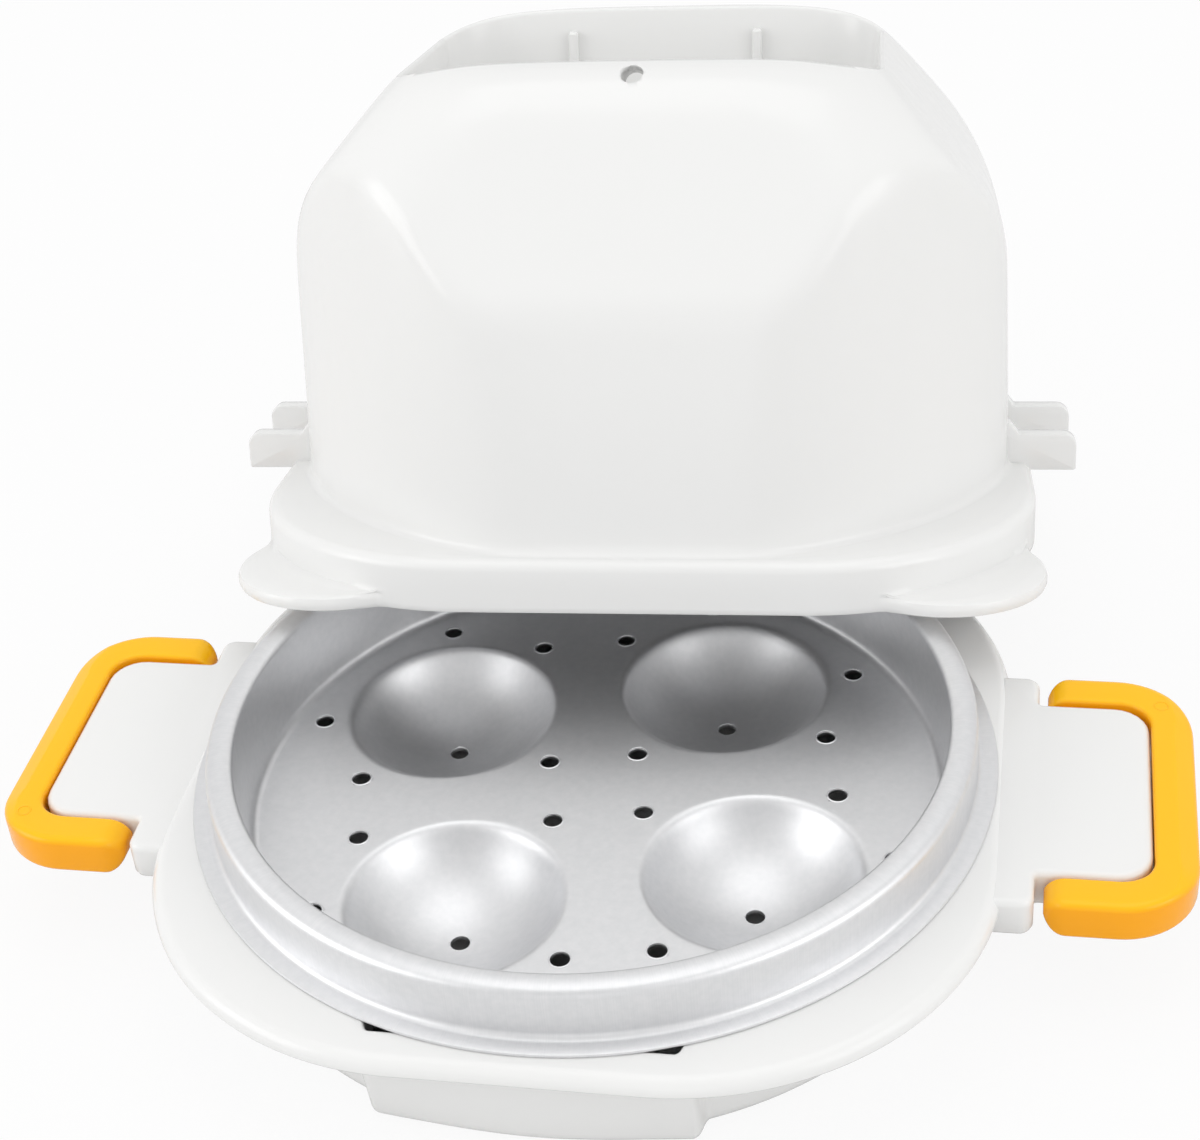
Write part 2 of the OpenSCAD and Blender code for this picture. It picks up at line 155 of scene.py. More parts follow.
def rounded_outline(corners, inset, steps=6, least=0.05):
    """A closed outline from corners (x, y, radius) that run counter-clockwise, set in by an amount."""
    count = len(corners)
    spots = [np.array(c[:2], float) for c in corners]
    shifted = []
    for i in range(count):
        before = spots[i] - spots[i - 1]
        after = spots[(i + 1) % count] - spots[i]
        before /= np.linalg.norm(before)
        after /= np.linalg.norm(after)
        left_before = np.array((-before[1], before[0]))
        left_after = np.array((-after[1], after[0]))
        turn = before[0] * after[1] - before[1] * after[0]
        shift = (left_before + left_after) * inset / (1 + left_before @ left_after)
        shifted.append((spots[i] + shift, before, after, turn))
    outline = []
    for (spot, before, after, turn), corner in zip(shifted, corners):
        radius = max(corner[2] - inset if turn > 0 else corner[2] + inset, least)
        half = math.acos(np.clip(before @ after, -1, 1)) / 2
        back = radius * math.tan(half)
        start = spot - before * back
        side = np.array((-before[1], before[0])) * math.copysign(1, turn)
        middle = start + side * radius
        for k in range(steps + 1):
            a = math.copysign(2 * half * k / steps, turn)
            arm = start - middle
            outline.append(middle + np.array((arm[0] * math.cos(a) - arm[1] * math.sin(a),
                                              arm[0] * math.sin(a) + arm[1] * math.cos(a))))
    return np.array(outline)


# Directions round the base lie closer together across the front panel
front_span = np.arange(243, 297, 0.25)
base_round = np.radians(np.unique(np.concatenate((np.arange(0, 360, 1.0), front_span))))


def tub_reach(z, inset):
    """The tub's outline at a height: round, with a front panel that leans in and bows out lower down."""
    down = np.maximum(-np.sin(base_round), 1e-6)
    across = np.maximum(np.abs(np.cos(base_round)), 1e-6)
    lowness = 1 - z / deck_z
    off_middle = np.minimum(tub_r * across / (down * spout_half_w), 1)
    front = spout_y - (spout_lean - spout_bow * (1 - off_middle**2)) * lowness - inset
    block = soft_min(front / down, (spout_half_w - inset) / across, spout_edge)
    on_front = np.sin(base_round) < -0.5
    return soft_max(np.where(on_front, block, 0), tub_r - inset, spout_blend)


def deck_reach(inset):
    return rounded_reach(base_round, deck_half_w - inset, deck_half_d - inset, deck_corner - inset)


bowl_round = 3.0
mouth_round = 0.8
inside_z = (8, 14, 20)
outside_z = (17, 12, 7)
under_deck = deck_z - plastic
lip_z = deck_z - lip_h
lip_round = 0.6
lip_knee = 0.2
lip_bevel = 0.3
corner_bevel = 0.4
lip_steps = ((0, lip_z + lip_round), (lip_knee, lip_z + lip_knee), (lip_round, lip_z),
             (plastic - lip_bevel, lip_z), (plastic, lip_z + lip_bevel),
             (plastic, under_deck - corner_bevel), (plastic + corner_bevel, under_deck))
tub_fillet = 1.6
foot_w = 5.0
foot_h = 0.8
foot_slope = 1.0

# Rows from the tub's floor up its inside, over the deck and its lip, and down the outside to the foot
rows = []
for a in quarter(4):
    z = plastic + bowl_round * (1 - math.cos(a))
    rows.append(ring(base_round, tub_reach(z, plastic) - bowl_round * (1 - math.sin(a)), z))
for z in inside_z:
    rows.append(ring(base_round, tub_reach(z, plastic), z))
for a in quarter(3):
    z = deck_z - mouth_round * (1 - math.sin(a))
    rows.append(ring(base_round, tub_reach(deck_z, plastic) + mouth_round * (1 - math.cos(a)), z))
mouth = tub_reach(deck_z, plastic) + mouth_round
for part in (0.35, 0.7):
    rows.append(ring(base_round, mouth + (deck_reach(deck_roll) - mouth) * part, deck_z))
for a in quarter(8):
    z = deck_z - deck_roll * (1 - math.cos(a))
    rows.append(ring(base_round, deck_reach(deck_roll * (1 - math.sin(a))), z))
for inset, z in lip_steps:
    rows.append(ring(base_round, deck_reach(inset), z))
for a in quarter(4):
    z = under_deck - tub_fillet * (1 - math.cos(a))
    rows.append(ring(base_round, tub_reach(z, 0) + tub_fillet * (1 - math.sin(a)), z))
for z in outside_z:
    rows.append(ring(base_round, tub_reach(z, 0), z))
for a in quarter(6):
    z = tub_foot_round * (1 - math.sin(a))
    rows.append(ring(base_round, tub_reach(z, 0) - tub_foot_round * (1 - math.cos(a)), z))
foot = tub_reach(0, tub_foot_round + foot_w)
rows.append(ring(base_round, foot, 0))
rows.append(ring(base_round, foot - foot_slope, foot_h))
rows.append(ring(base_round, foot * 0.5, foot_h))
base_skin = skin(rows)

wing_tip = base_high[0] / mm
wing_half_l = 23.5
wing_corner = 6.5
wing_h = 8.0
wing_sink = 0.35
shoulder_x = 82.1
shoulder_half_l = 31.5
shoulder_corner = 2.6
root_corner = 0.4
inner_corner = 0.8
wing_edge = 1.3
wing_foot_round = 0.9
wing_row_h = 3.0
wing_root = deck_half_w - deck_roll
wing_top = deck_z - wing_sink
wing_foot = deck_z - wing_h
wing_corners = [
    (wing_root, -shoulder_half_l, root_corner), (shoulder_x, -shoulder_half_l, shoulder_corner),
    (shoulder_x, -wing_half_l, inner_corner), (wing_tip, -wing_half_l, wing_corner),
    (wing_tip, wing_half_l, wing_corner), (shoulder_x, wing_half_l, inner_corner),
    (shoulder_x, shoulder_half_l, shoulder_corner), (wing_root, shoulder_half_l, root_corner)]


def flat_row(outline, z):
    return np.column_stack((outline, np.full(len(outline), z)))


def wing_skin(side):
    """One wing with its shoulder, hollow below, on the right (1) or the left (-1)."""
    steps = []
    for a in quarter(5):
        steps.append((wing_edge * (1 - math.sin(a)), wing_top - wing_edge * (1 - math.cos(a))))
    steps += [(0, wing_foot + wing_row_h), (0, wing_foot + wing_foot_round),
              (lip_bevel, wing_foot + lip_bevel), (wing_foot_round, wing_foot)]
    steps += [(plastic - lip_knee, wing_foot), (plastic, wing_foot + lip_bevel),
              (plastic, wing_top - plastic)]
    lines = [flat_row(rounded_outline(wing_corners, inset), z) for inset, z in steps]
    points, faces = skin(lines, close_first=False, close_last=False)
    count = len(lines[0])
    faces.append(tuple(range(count)))
    faces.append(tuple(reversed(range(len(points) - count, len(points)))))
    turn = np.array((side, side, 1))
    return [np.array(p) * turn for p in points], faces


base = make_piece("base_moulding", *joined(base_skin, wing_skin(1), wing_skin(-1)))


def open_group(name, colours, numbers):
    """A new shader group with those inputs, that gives out a colour, a roughness and a fine height."""
    group = bpy.data.node_groups.new(name, "ShaderNodeTree")
    plan = (("INPUT", "NodeSocketColor", colours), ("INPUT", "NodeSocketFloat", numbers),
            ("OUTPUT", "NodeSocketColor", ["Colour"]), ("OUTPUT", "NodeSocketFloat", ["Roughness", "Height"]))
    for in_out, kind, sockets in plan:
        for socket in sockets:
            group.interface.new_socket(socket, in_out=in_out, socket_type=kind)
    return group


def noise(group, place, scale, detail):
    """The value of a noise texture in a group."""
    texture = group.nodes.new("ShaderNodeTexNoise")
    texture.inputs["Scale"].default_value = scale
    texture.inputs["Detail"].default_value = detail
    group.links.new(place, texture.inputs["Vector"])
    return texture.outputs["Fac"]


def moulded_group():
    """Skin of a plastic moulding: faint flow mottling, rub marks and a fine orange-peel height."""
    group = open_group("moulded_skin", ["Colour", "Shade"], ["Gloss Low", "Gloss High"])
    nodes = group.nodes
    wire = group.links.new
    given = nodes.new("NodeGroupInput")
    out = nodes.new("NodeGroupOutput")
    where = nodes.new("ShaderNodeTexCoord")
    flow = noise(group, where.outputs["Object"], scale=28, detail=3)
    rub = noise(group, where.outputs["Object"], scale=120, detail=5)
    peel = noise(group, where.outputs["Object"], scale=900, detail=2)
    # A mix node takes colours at its inputs 6 and 7 and gives one at its output 2
    tint = nodes.new("ShaderNodeMix")
    tint.data_type = "RGBA"
    wire(flow, tint.inputs["Factor"])
    wire(given.outputs["Colour"], tint.inputs[6])
    wire(given.outputs["Shade"], tint.inputs[7])
    gloss = nodes.new("ShaderNodeMapRange")
    wire(rub, gloss.inputs["Value"])
    gloss.inputs["From Min"].default_value = 0.35
    gloss.inputs["From Max"].default_value = 0.65
    wire(given.outputs["Gloss Low"], gloss.inputs["To Min"])
    wire(given.outputs["Gloss High"], gloss.inputs["To Max"])
    wire(tint.outputs[2], out.inputs["Colour"])
    wire(gloss.outputs["Result"], out.inputs["Roughness"])
    wire(peel, out.inputs["Height"])
    return group


moulded_skin = moulded_group()
peel_strength = 0.15
peel_depth = 0.01


def skinned_material(name, group, values, bump_strength, bump_depth):
    """A material that takes its colour, roughness and fine height from a shared group."""
    material = bpy.data.materials.new(name)
    material.use_nodes = True
    tree = material.node_tree
    shader = tree.nodes["Principled BSDF"]
    look = tree.nodes.new("ShaderNodeGroup")
    look.node_tree = group
    for socket, value in values.items():
        look.inputs[socket].default_value = value
    bump = tree.nodes.new("ShaderNodeBump")
    bump.inputs["Strength"].default_value = bump_strength
    bump.inputs["Distance"].default_value = bump_depth * mm
    tree.links.new(look.outputs["Colour"], shader.inputs["Base Color"])
    tree.links.new(look.outputs["Roughness"], shader.inputs["Roughness"])
    tree.links.new(look.outputs["Height"], bump.inputs["Height"])
    tree.links.new(bump.outputs["Normal"], shader.inputs["Normal"])
    return material


def plastic_material(name, colour, shade, gloss):
    """A glossy moulding material with its own colours and range of roughness."""
    values = {"Colour": (*colour, 1), "Shade": (*shade, 1), "Gloss Low": gloss[0], "Gloss High": gloss[1]}
    material = skinned_material(name, moulded_skin, values, peel_strength, peel_depth)
    material.node_tree.nodes["Principled BSDF"].inputs["IOR"].default_value = 1.49
    return material


white_plastic = plastic_material("white_polypropylene", (0.82, 0.82, 0.812), (0.816, 0.816, 0.807),
                                 gloss=(0.17, 0.21))
base.data.materials.append(white_plastic)
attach(base, "base")
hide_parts("base")


# Egg tray
# A loose tray drawn from one sheet of satin aluminium: a flat floor with four egg cups and punched
# steam holes, a raised double rim, and a flange that lies on the deck of the base.
tray_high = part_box("egg_tray")[1]
sheet = 0.8
tray_turn = math.radians(12.6)
rim_h = 18.3
tray_floor_z = tray_high[2] / mm - rim_h
flange_r = tray_high[0] / mm
flange_h = 7.8
floor_r = 65.6
rim_in_r = 66.2
rim_out_r = 71.3
rim_mid_r = (rim_in_r + rim_out_r) / 2
rim_crown = 0.25
floor_bend = 1.7
rim_in_bend = 1.1
rim_bend = 1.7
flange_bend = 1.3
flange_edge = sheet / 2
wall_mid_z = (rim_h + flange_h) / 2
cup_mouth = 20.0
cup_depth = 11.4
cup_offset = 27.1
cup_lip = 1.5
hole_r = 1.8
hole_in = 8.5
hole_out = 44.9
hole_far = 52.75

tray_round = np.radians(np.arange(0, 360, 0.75))
cup_ball = (cup_mouth**2 + cup_depth**2) / (2 * cup_depth)
cup_places = [(x * cup_offset, y * cup_offset) for x in (-1, 1) for y in (-1, 1)]


def turned(x, y, angle):
    return x * math.cos(angle) - y * math.sin(angle), x * math.sin(angle) + y * math.cos(angle)


def floor_drop(x, y):
    """Height of the tray's floor, with the egg cups pressed into it."""
    height = np.zeros_like(x)
    for place in cup_places:
        mid_x, mid_y = turned(*place, tray_turn)
        away = np.minimum(np.hypot(x - mid_x, y - mid_y), cup_ball - 0.01)
        bowl = cup_ball - cup_depth - np.sqrt(cup_ball**2 - away**2)
        height = soft_min(height, bowl, cup_lip)
    return height


def floor_row(reach, below):
    row = ring(tray_round, reach, 0)
    row[:, 2] = tray_floor_z + floor_drop(row[:, 0], row[:, 1]) - below
    return row


def bend_rows(mid_r, mid_z, radius, start_deg, end_deg, steps=6):
    """Rows round a bend of the drawn sheet, about a middle in the half section."""
    found = []
    for i in range(steps + 1):
        a = math.radians(start_deg + (end_deg - start_deg) * i / steps)
        found.append((mid_r + radius * math.cos(a), mid_z + radius * math.sin(a)))
    return found


# The sheet's section beyond the floor, first along its upper side and then back along its under side
floor_mid = (floor_r - floor_bend, floor_bend)
rim_in_mid = (rim_in_r + rim_in_bend, rim_h - rim_in_bend - rim_crown)
rim_out_mid = (rim_out_r - rim_bend, rim_h - rim_bend - rim_crown)
flange_mid = (rim_out_r + flange_bend, flange_h + flange_bend)
top_side = bend_rows(*floor_mid, floor_bend, -90, 0)
top_side += [(floor_r + (rim_in_r - floor_r) * t, floor_bend + (rim_h - rim_bend - floor_bend) * t)
             for t in (0.35, 0.7)]
top_side += bend_rows(*rim_in_mid, rim_in_bend, 180, 100)
top_side += [(rim_mid_r, rim_h)]
top_side += bend_rows(*rim_out_mid, rim_bend, 80, 0)
top_side += [(rim_out_r, wall_mid_z)]
top_side += bend_rows(*flange_mid, flange_bend, 180, 270)
top_side += bend_rows(flange_r - flange_edge, flange_h - flange_edge, flange_edge, 90, -90, 4)
under_side = bend_rows(*flange_mid, flange_bend + sheet, 270, 180)
under_side += [(rim_out_r - sheet, wall_mid_z)]
under_side += bend_rows(*rim_out_mid, rim_bend - sheet, 0, 80)
under_side += [(rim_mid_r, rim_h - sheet)]
under_side += bend_rows(*rim_in_mid, rim_in_bend - sheet, 100, 180)
under_side += [(floor_r + sheet, floor_bend)]
under_side += bend_rows(*floor_mid, floor_bend + sheet, 0, -90)

floor_hub = 0.4
floor_gap = 0.1
floor_count = 84
floor_steps = np.linspace(floor_hub, floor_r - floor_bend - floor_gap, floor_count)

rows = [floor_row(r, 0) for r in floor_steps]
rows += [ring(tray_round, r, tray_floor_z + z) for r, z in top_side + under_side]
rows += [floor_row(r, sheet) for r in floor_steps[::-3]]
tray = make_piece("drawn_egg_tray", *skin(rows))

hole_places = [(x * a, y * b) for a, b in ((hole_in, hole_in), (hole_in, hole_out), (hole_out, hole_in),
                                           (cup_offset, hole_far), (hole_far, cup_offset),
                                           (cup_offset, cup_offset))
               for x in (-1, 1) for y in (-1, 1)]
hole_round = np.radians(np.arange(0, 360, 11.25))


def moved(a_skin, x, y, z):
    points, faces = a_skin
    return [np.array(p) + (x, y, z) for p in points], faces


def cut(piece, cutter):
    """Takes a cutter's volume out of a piece and removes the cutter."""
    modifier = piece.modifiers.new("cut", "BOOLEAN")
    modifier.operation = "DIFFERENCE"
    modifier.solver = "EXACT"
    modifier.object = cutter
    graph = bpy.context.evaluated_depsgraph_get()
    mesh = bpy.data.meshes.new_from_object(piece.evaluated_get(graph))
    piece.modifiers.clear()
    old = piece.data
    piece.data = mesh
    bpy.data.meshes.remove(old)
    bpy.data.objects.remove(cutter)


# Section of the rolled edge round a hole: how far out from the hole's wall, and how high
burr_section = ((-0.02, -0.1), (0.0, 0.05), (0.12, 0.1), (0.3, 0.04), (0.38, -0.1))
punch_half = 2.0
punches = []
burrs = []
for place in hole_places:
    x, y = turned(*place, tray_turn)
    at = tray_floor_z + float(floor_drop(np.array([x]), np.array([y]))[0])
    punch = [ring(hole_round, hole_r, z) for z in (punch_half, -punch_half)]
    punches.append(moved(skin(punch), x, y, at))
    burr = [ring(hole_round, hole_r + out, z) for out, z in burr_section]
    burrs.append(moved(skin(burr + burr[:1], close_first=False, close_last=False), x, y, at))
cut(tray, make_piece("hole_punches", *joined(*punches)))
hole_rings = make_piece("punched_hole_edges", *joined(*burrs))

marks_round = 300
marks_outward = 40
mark_tint = 0.9
grain_height = 0.35
grain_strength = 0.12
grain_depth = 0.03


def sheet_group():
    """Skin of drawn aluminium: a fine satin grain all over, and short marks across the rim and flange."""
    group = open_group("drawn_sheet_skin", [], ["Mark Start", "Mark Depth", "Satin Low", "Satin High"])
    nodes = group.nodes
    wire = group.links.new
    given = nodes.new("NodeGroupInput")
    out = nodes.new("NodeGroupOutput")
    where = nodes.new("ShaderNodeTexCoord")
    apart = nodes.new("ShaderNodeSeparateXYZ")
    wire(where.outputs["Object"], apart.inputs["Vector"])

    def math_node(kind, first, second):
        node = nodes.new("ShaderNodeMath")
        node.operation = kind
        for socket, value in zip(node.inputs, (first, second)):
            if isinstance(value, (int, float)):
                socket.default_value = value
            else:
                wire(value, socket)
        return node.outputs["Value"]

    angle = math_node("ARCTAN2", apart.outputs["Y"], apart.outputs["X"])
    square = math_node("ADD", math_node("MULTIPLY", apart.outputs["X"], apart.outputs["X"]),
                       math_node("MULTIPLY", apart.outputs["Y"], apart.outputs["Y"]))
    reach = math_node("SQRT", square, 0)
    along = nodes.new("ShaderNodeCombineXYZ")
    wire(math_node("MULTIPLY", angle, marks_round), along.inputs["X"])
    wire(math_node("MULTIPLY", reach, marks_outward), along.inputs["Y"])
    ticks = noise(group, along.outputs["Vector"], scale=1, detail=3)
    on_rim = math_node("GREATER_THAN", reach, given.outputs["Mark Start"])
    marks = math_node("MULTIPLY", math_node("SUBTRACT", ticks, 0.5), on_rim)
    grain = noise(group, where.outputs["Object"], scale=700, detail=4)
    cloud = noise(group, where.outputs["Object"], scale=90, detail=3)
    satin = nodes.new("ShaderNodeMapRange")
    wire(cloud, satin.inputs["Value"])
    wire(given.outputs["Satin Low"], satin.inputs["To Min"])
    wire(given.outputs["Satin High"], satin.inputs["To Max"])
    shade = nodes.new("ShaderNodeValToRGB")
    shade.color_ramp.elements[0].position = 0.3
    shade.color_ramp.elements[0].color = (0.755, 0.76, 0.77, 1)
    shade.color_ramp.elements[1].position = 0.75
    shade.color_ramp.elements[1].color = (0.80, 0.80, 0.81, 1)
    wire(math_node("ADD", grain, math_node("MULTIPLY", marks, mark_tint)), shade.inputs["Fac"])
    height = math_node("ADD", math_node("MULTIPLY", grain, grain_height),
                       math_node("MULTIPLY", marks, given.outputs["Mark Depth"]))
    wire(shade.outputs["Color"], out.inputs["Colour"])
    wire(satin.outputs["Result"], out.inputs["Roughness"])
    wire(height, out.inputs["Height"])
    return group


drawn_sheet_skin = sheet_group()


def sheet_material(name, mark_start, mark_depth, satin):
    """Satin aluminium with the marks that drawing leaves beyond a radius, in millimetres."""
    values = {"Mark Start": mark_start * mm, "Mark Depth": mark_depth,
              "Satin Low": satin[0], "Satin High": satin[1]}
    material = skinned_material(name, drawn_sheet_skin, values, grain_strength, grain_depth)
    material.node_tree.nodes["Principled BSDF"].inputs["Metallic"].default_value = 1
    return material


satin_aluminium = sheet_material("satin_aluminium", rim_in_r, mark_depth=2.5, satin=(0.42, 0.46))
for piece in (tray, hole_rings):
    piece.data.materials.clear()
    piece.data.materials.append(satin_aluminium)
    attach(piece, "tray")
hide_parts("egg_tray")


# Latches
# Two equal bails moulded in glossy yellow plastic. A stud at the end of each arm snaps into a bore in
# the wing's side, so that the bail can swing up from where it lies round the wing.
latch_low, latch_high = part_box("right_latch")
bail_tip = latch_high[0] / mm
bail_half_l = latch_high[1] / mm
bail_top = latch_high[2] / mm
bail_h = (latch_high[2] - latch_low[2]) / mm
arm_end = latch_low[0] / mm
bail_w = 7.2
bail_edge = 1.3
arm_slope_w = 0.2
arm_slope_h = 0.25
bar_slope_w = 3.4
bar_slope_h = 1.5
bar_extra_w = 0.6
stud_r = 2.0
stud_reach = 3.4
bail_mid_z = bail_top - bail_h / 2
turn_mid_r = 10.4
bar_mid_x = bail_tip - bail_w / 2
arm_mid_y = bail_half_l - bail_w / 2


def bail_section(scale_w, scale_h, slope):
    """Section of the bail from its inner (-) to its outer (+) side, with a top that slopes outward."""
    w = bail_w / 2
    inner = -w - bar_extra_w * slope
    h = bail_h / 2 * scale_h
    tip = -w + bail_w * scale_w
    edge = min(bail_edge, h * 0.7)
    inner_edge = edge * 0.6
    ridge = tip - bail_edge - arm_slope_w - (bar_slope_w - bail_edge) * slope
    drop = min(arm_slope_h + bar_slope_h * slope, h * 0.4)
    corners = [(inner, -h, inner_edge), (tip, -h, edge), (tip, h - drop, edge),
               (ridge, h, edge), (inner, h, inner_edge)]
    return rounded_outline(corners, 0, steps=5)


# Each step of the path: place, heading, and the section's width, height and slope
turn_x = bar_mid_x - turn_mid_r
turn_y = arm_mid_y - turn_mid_r
cap_length = bail_h / 2
cap_start = 0.16
cap_width = 0.55
bail_path = []
for i in range(9):
    a = math.pi / 2 * (cap_start + (1 - cap_start) * i / 8)
    bail_path.append((arm_end + cap_length * (1 - math.cos(a)), -arm_mid_y, 0.0,
                      cap_width + (1 - cap_width) * math.sin(a), math.sin(a), 0.0))
for part in (0.4, 0.8):
    x = arm_end + cap_length + (turn_x - arm_end - cap_length) * part
    bail_path.append((x, -arm_mid_y, 0.0, 1, 1, 0.0))
for i in range(15):
    a = math.pi / 2 * i / 14
    bail_path.append((turn_x + turn_mid_r * math.sin(a), -turn_y - turn_mid_r * math.cos(a), a, 1, 1,
                      max(0.0, 2 * a / (math.pi / 2) - 1)))
for part in (0.25, 0.5):
    bail_path.append((bar_mid_x, -turn_y + 2 * turn_y * part, math.pi / 2, 1, 1, 1.0))
for x, y, a, scale_w, scale_h, slope in reversed(bail_path[:-1]):
    bail_path.append((x, -y, math.pi - a, scale_w, scale_h, slope))

bail_rows = []
for x, y, a, scale_w, scale_h, slope in bail_path:
    section = bail_section(scale_w, scale_h, slope)
    bail_rows.append(np.column_stack((x + section[:, 0] * math.sin(a), y - section[:, 0] * math.cos(a),
                                      bail_mid_z + section[:, 1])))

stud_round = np.radians(np.arange(0, 360, 15))
stud_x = arm_end + bail_h / 2
stud_gap = 0.8
stud_sink = 1.0
stud_bevel = 0.4
arm_inside = arm_mid_y - bail_w / 2
stud_end = arm_inside - stud_gap - stud_reach
spans = ((arm_inside + stud_sink, stud_r), (stud_end + stud_bevel, stud_r), (stud_end, stud_r - stud_bevel))
studs = []
for side in (-1, 1):
    rows = [np.column_stack((stud_x + r * np.cos(stud_round), np.full(len(stud_round), side * y),
                             bail_mid_z + r * np.sin(stud_round))) for y, r in spans]
    studs.append(skin(rows))

pin_mark_r = 1.25
pin_mark_t = 0.14
pin_mark_h = pin_mark_t * 0.8
mark_round = np.radians(np.arange(0, 360, 10))
mark_rows = [ring(mark_round, pin_mark_r + pin_mark_t * math.cos(a), pin_mark_h * math.sin(a))
             for a in np.radians(np.arange(0, 361, 45))]
mark_a = math.radians(52)
pin_mark = moved(skin(mark_rows, close_first=False, close_last=False),
                 turn_x + turn_mid_r * math.sin(mark_a), turn_y + turn_mid_r * math.cos(mark_a), bail_top)

yellow_plastic = plastic_material("yellow_latch_plastic", (1.0, 0.54, 0.008), (0.98, 0.515, 0.007),
                                  gloss=(0.15, 0.19))
# Painted shade: faces turned away from straight up get a deeper orange than the top, standing in for the
# light that the translucent plastic scatters in its shaded sides
painted_side_shade_orange = (0.98, 0.40, 0.004, 1)
tree = yellow_plastic.node_tree
shader = tree.nodes["Principled BSDF"]
shader.inputs["Specular IOR Level"].default_value = 0.3
facing = tree.nodes.new("ShaderNodeTexCoord")
apart = tree.nodes.new("ShaderNodeSeparateXYZ")
upward = tree.nodes.new("ShaderNodeMapRange")
upward.inputs["From Min"].default_value = 0.1
upward.inputs["From Max"].default_value = 0.95
# Mixes the painted side shade into the moulded yellow by how far each face turns up from level
side_shade_mix = tree.nodes.new("ShaderNodeMix")
side_shade_mix.data_type = "RGBA"
side_shade_mix.inputs[6].default_value = painted_side_shade_orange
moulded = shader.inputs["Base Color"].links[0].from_socket
tree.links.new(facing.outputs["Normal"], apart.inputs["Vector"])
tree.links.new(apart.outputs["Z"], upward.inputs["Value"])
tree.links.new(upward.outputs["Result"], side_shade_mix.inputs["Factor"])
tree.links.new(moulded, side_shade_mix.inputs[7])
tree.links.new(side_shade_mix.outputs[2], shader.inputs["Base Color"])
for name, body, turn in (("right_bail", "right_latch", 0), ("left_bail", "left_latch", math.pi)):
    points, faces = joined(skin(bail_rows), *studs, pin_mark)
    swung = [(*turned(p[0], p[1], turn), p[2]) for p in points]
    bail = make_piece(name, swung, faces)
    bail.data.materials.append(yellow_plastic)
    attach(bail, body)
    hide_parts(body)


# Lid shell
# A tall cover in the same white polypropylene. Its walls bend over into a flat top with a pocket for the
# hand. The skirt carries four lifting ears, and two pairs of catch plates stand out above it.
lid_middle = (-2.0, 97.66, 20.41)
lid_lean = math.radians(-14.9)
lid_turn = math.radians(4.2)
lid_tip = math.radians(0.7)
lid_half_w = 80.2
lid_half_d = 74.4
skirt_corner = 47.0
skirt_h = 10.6
ledge_round = 2.2
lid_h = 100.5
dome_half_w = 76.0
dome_half_d = 70.8
side_lean = 1.84
side_break = 52.0
side_round_r = 37.9
side_top = 45.4
side_top_r = 30.0
side_top_angle = math.radians(42.0)
front_lean = 1.45
front_break = 53.6
front_round_r = 20.6
front_top = 48.5
front_top_r = 48.0
front_top_angle = math.radians(40.0)
drum_half_w = 76.6
drum_half_d = 74.4
blend = 22.0
crease = 1.2
rim_crease = 0.4
pocket_half_l = 47.5
pocket_half_w = 38.3
pocket_corner = 13.0
pocket_draft = 1.5
pocket_depth = 30.0
ear_r = 20.0
ear_inset = 19.2
ear_t = 3.0
ear_blend = 3.0
ear_fade = 1.6
ear_bevel = 0.7
under_ledge = skirt_h - plastic

lid_round = np.radians(np.arange(0, 360, 0.9375))


def half_section(half, lean, break_z, round_r, top, top_r, top_angle):
    """Arcs of a convex half section: one above the leaning wall, and one from there to the top's edge."""
    low_mid = (half - lean - round_r, break_z)
    high_mid = (top - top_r * math.cos(top_angle), lid_h - top_r * math.sin(top_angle))
    step_x = high_mid[0] - low_mid[0]
    step_z = high_mid[1] - low_mid[1]
    off_line = math.acos((round_r - top_r) / math.hypot(step_x, step_z))
    slope = (math.atan2(step_z, step_x) - off_line) % math.tau
    wall_angle = math.atan2(lean, break_z - skirt_h)
    return [(low_mid, round_r, wall_angle, slope), (high_mid, top_r, slope, top_angle)]


side_arcs = half_section(dome_half_w, side_lean, side_break, side_round_r,
                         side_top, side_top_r, side_top_angle)
front_arcs = half_section(dome_half_d, front_lean, front_break, front_round_r,
                          front_top, front_top_r, front_top_angle)


def outermost(arcs, across, z):
    """Signed distance outside a convex half section, made of arcs and the flats that touch their ends."""
    best = None
    for mid, radius, start, end in arcs:
        a = np.clip(np.arctan2(z - mid[1], across - mid[0]), start, end)
        d = (across - mid[0]) * np.cos(a) + (z - mid[1]) * np.sin(a) - radius
        best = d if best is None else np.maximum(best, d)
    return best


def soft_most(values, sharpness, limit=60):
    """The largest of several distances, with the creases between them rounded."""
    return np.log(sum(np.exp(sharpness * np.clip(v, -limit, limit)) for v in values)) / sharpness


def outside_dome(x, y, z):
    """Above 0 outside the dome and below 0 inside it: a vault, a round drum and a flat top, met softly."""
    side = outermost(side_arcs, np.abs(x), z)
    front = outermost(front_arcs, np.abs(y), z)
    near = np.maximum(blend - np.abs(side - front), 0)
    vault = np.maximum(side, front) + near**2 / (4 * blend)
    drum = (np.hypot(x / drum_half_w, y / drum_half_d) - 1) * drum_half_w
    return soft_most((soft_most((vault, drum), crease), z - lid_h), rim_crease)


def meet(start, heading, inset=0.0, far=160.0, halvings=34):
    """Distance along rays from inside the dome to its skin, found by halving."""
    low = np.zeros(heading.shape[0])
    high = np.full(heading.shape[0], far)
    for _ in range(halvings):
        mid = (low + high) / 2
        p = start + heading * mid[:, None]
        out = outside_dome(p[:, 0], p[:, 1], p[:, 2]) > -inset
        high = np.where(out, mid, high)
        low = np.where(out, low, mid)
    return (low + high) / 2


level = np.column_stack((np.cos(lid_round), np.sin(lid_round), np.zeros(len(lid_round))))


def dome_reach(z, inset=0.0):
    return meet(np.array((0, 0, z)), level, inset)


def pocket_reach(grow):
    return rounded_reach(lid_round, pocket_half_l + grow, pocket_half_w + grow, pocket_corner + grow)


